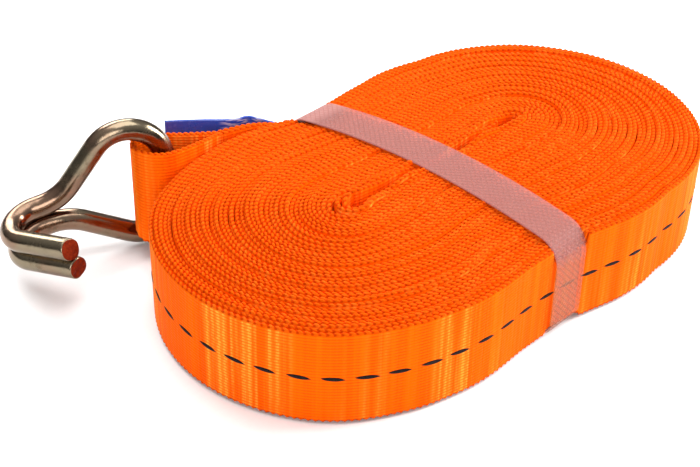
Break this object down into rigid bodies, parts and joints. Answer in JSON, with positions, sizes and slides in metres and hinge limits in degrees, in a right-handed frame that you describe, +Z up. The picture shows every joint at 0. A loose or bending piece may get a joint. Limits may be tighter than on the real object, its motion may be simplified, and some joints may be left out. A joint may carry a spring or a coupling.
{
  "type": "tie down strap",
  "caption": "Loose end of a ratchet tie down: a flat coil of orange webbing held by a plastic strap, its sewn eye carrying a bent-wire claw hook.",
  "frame": {"origin": "middle of the coil's underside, on the surface it lies on", "axes": "+Z up, along the webbing's width; X along the coil's long axis with the hook at the -X end; +Y towards the hook's side"},
  "size_m": [0.1689, 0.1121, 0.0365],
  "materials": {
    "webbing": "woven polyester with a slight sheen",
    "tracer": "woven yarn",
    "strapping": "embossed translucent plastic",
    "thread": "polyester thread",
    "label": "glossy film",
    "zinc_wire": "yellow-passivated zinc plating"
  },
  "bodies": {
    "coil": {"webbing_coil": "webbing", "webbing_free_end": "webbing", "tracer_yarn": "tracer", "plastic_strap": "strapping", "strap_welded_end": "strapping"},
    "sewn_end": {"webbing_lead": "webbing", "webbing_tail": "webbing", "seam_box_stitches": "thread", "seam_cross_stitches": "thread", "label_hem": "label", "label_stitches": "thread"},
    "eye": {"webbing_eye": "webbing"},
    "hook": {"claw_hook": "zinc_wire"},
    "label": {"label": "label"}
  },
  "joints": [
    {"name": "lead_peel", "type": "hinge", "parent": "coil", "child": "sewn_end", "pos_m": [-0.01219, 0.04422, 0.013], "axis": [0, 0, -1], "range_deg": [0, 90]},
    {"name": "eye_flex", "type": "hinge", "parent": "sewn_end", "child": "eye", "pos_m": [-0.03155, 0.04801, 0.013], "axis": [0, 0, -1], "range_deg": [0, 20]},
    {"name": "hook_swing", "type": "hinge", "parent": "eye", "child": "hook", "pos_m": [-0.04785, 0.04841, 0.02075], "axis": [-0.2273, 0.1089, 0.9677], "range_deg": [-15, 12]},
    {"name": "label_flap", "type": "hinge", "parent": "sewn_end", "child": "label", "pos_m": [-0.0176, 0.04606, 0.013], "axis": [0, 0, -1], "range_deg": [0, 60]}
  ]
}
